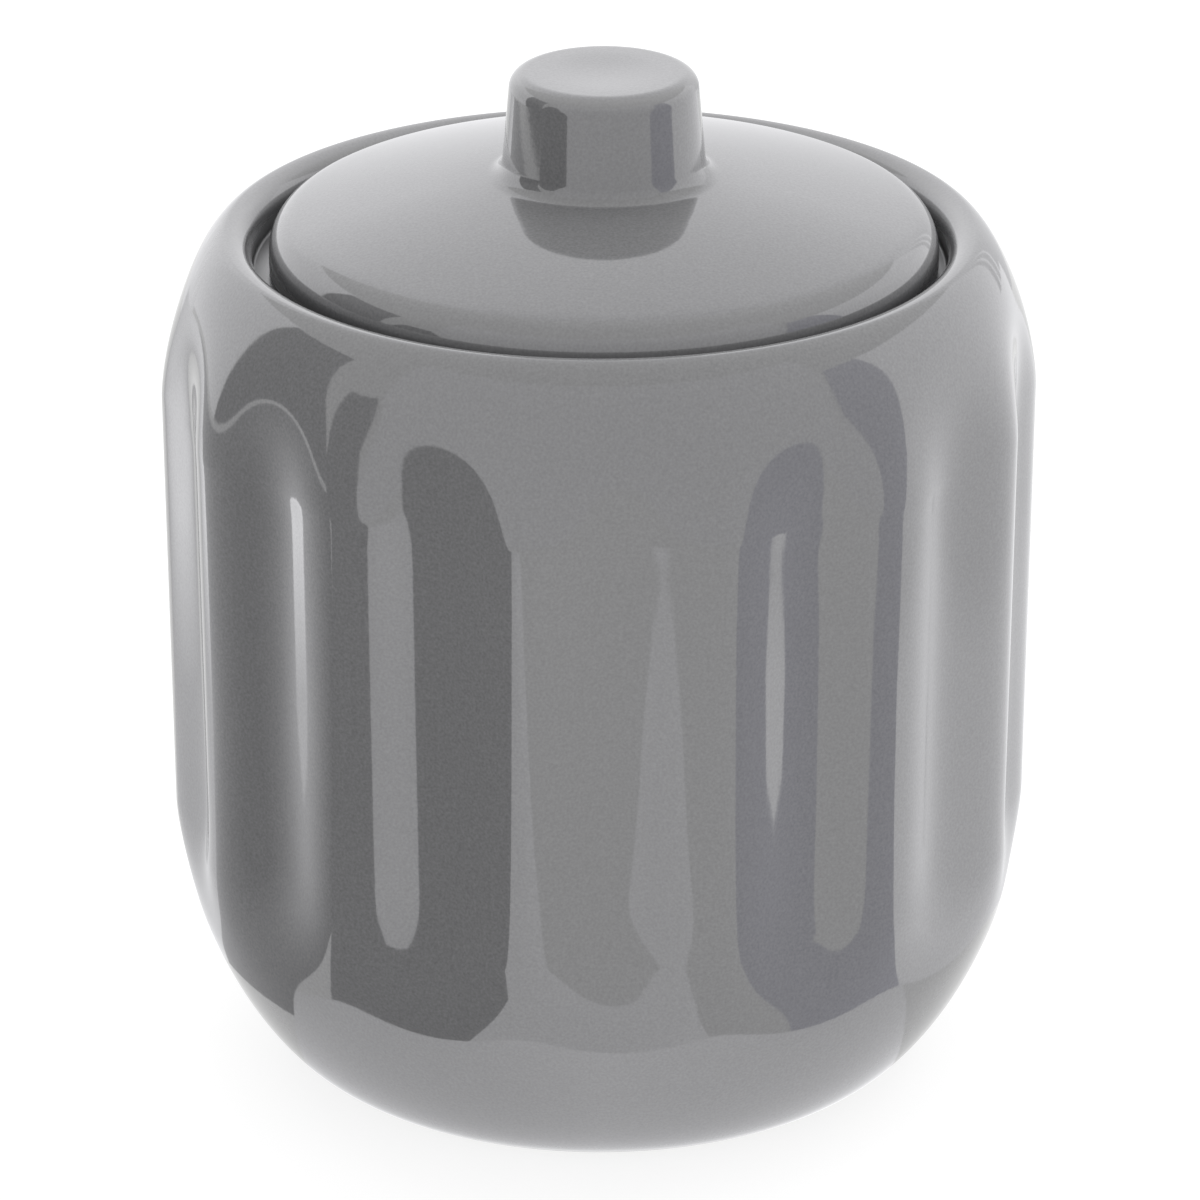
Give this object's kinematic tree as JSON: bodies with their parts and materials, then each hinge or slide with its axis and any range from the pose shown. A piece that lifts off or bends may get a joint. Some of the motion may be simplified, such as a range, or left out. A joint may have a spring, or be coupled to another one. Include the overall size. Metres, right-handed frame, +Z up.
{
  "type": "cotton pad holder",
  "caption": "Round lidded jar in glossy grey glazed ceramic for cotton pads: fluted barrel with rounded shoulder and bottom, and a loose domed lid with a knob, recessed in the mouth.",
  "frame": {"origin": "middle of the foot ring, on the surface that the jar stands on", "axes": "+Z up, along the jar's own axis; a flute faces -Y, and +X and -X each lie on a ridge"},
  "size_m": [0.1002, 0.0982, 0.1179],
  "materials": {
    "jar_glaze": "gloss",
    "lid_glaze": "gloss"
  },
  "bodies": {
    "jar": {"jar": "jar_glaze"},
    "lid": {"lid": "lid_glaze"}
  },
  "joints": [
    {"name": "lid_lift", "type": "slide", "parent": "jar", "child": "lid", "axis": [0, 0, 1], "range_m": [0, 0.06]}
  ]
}
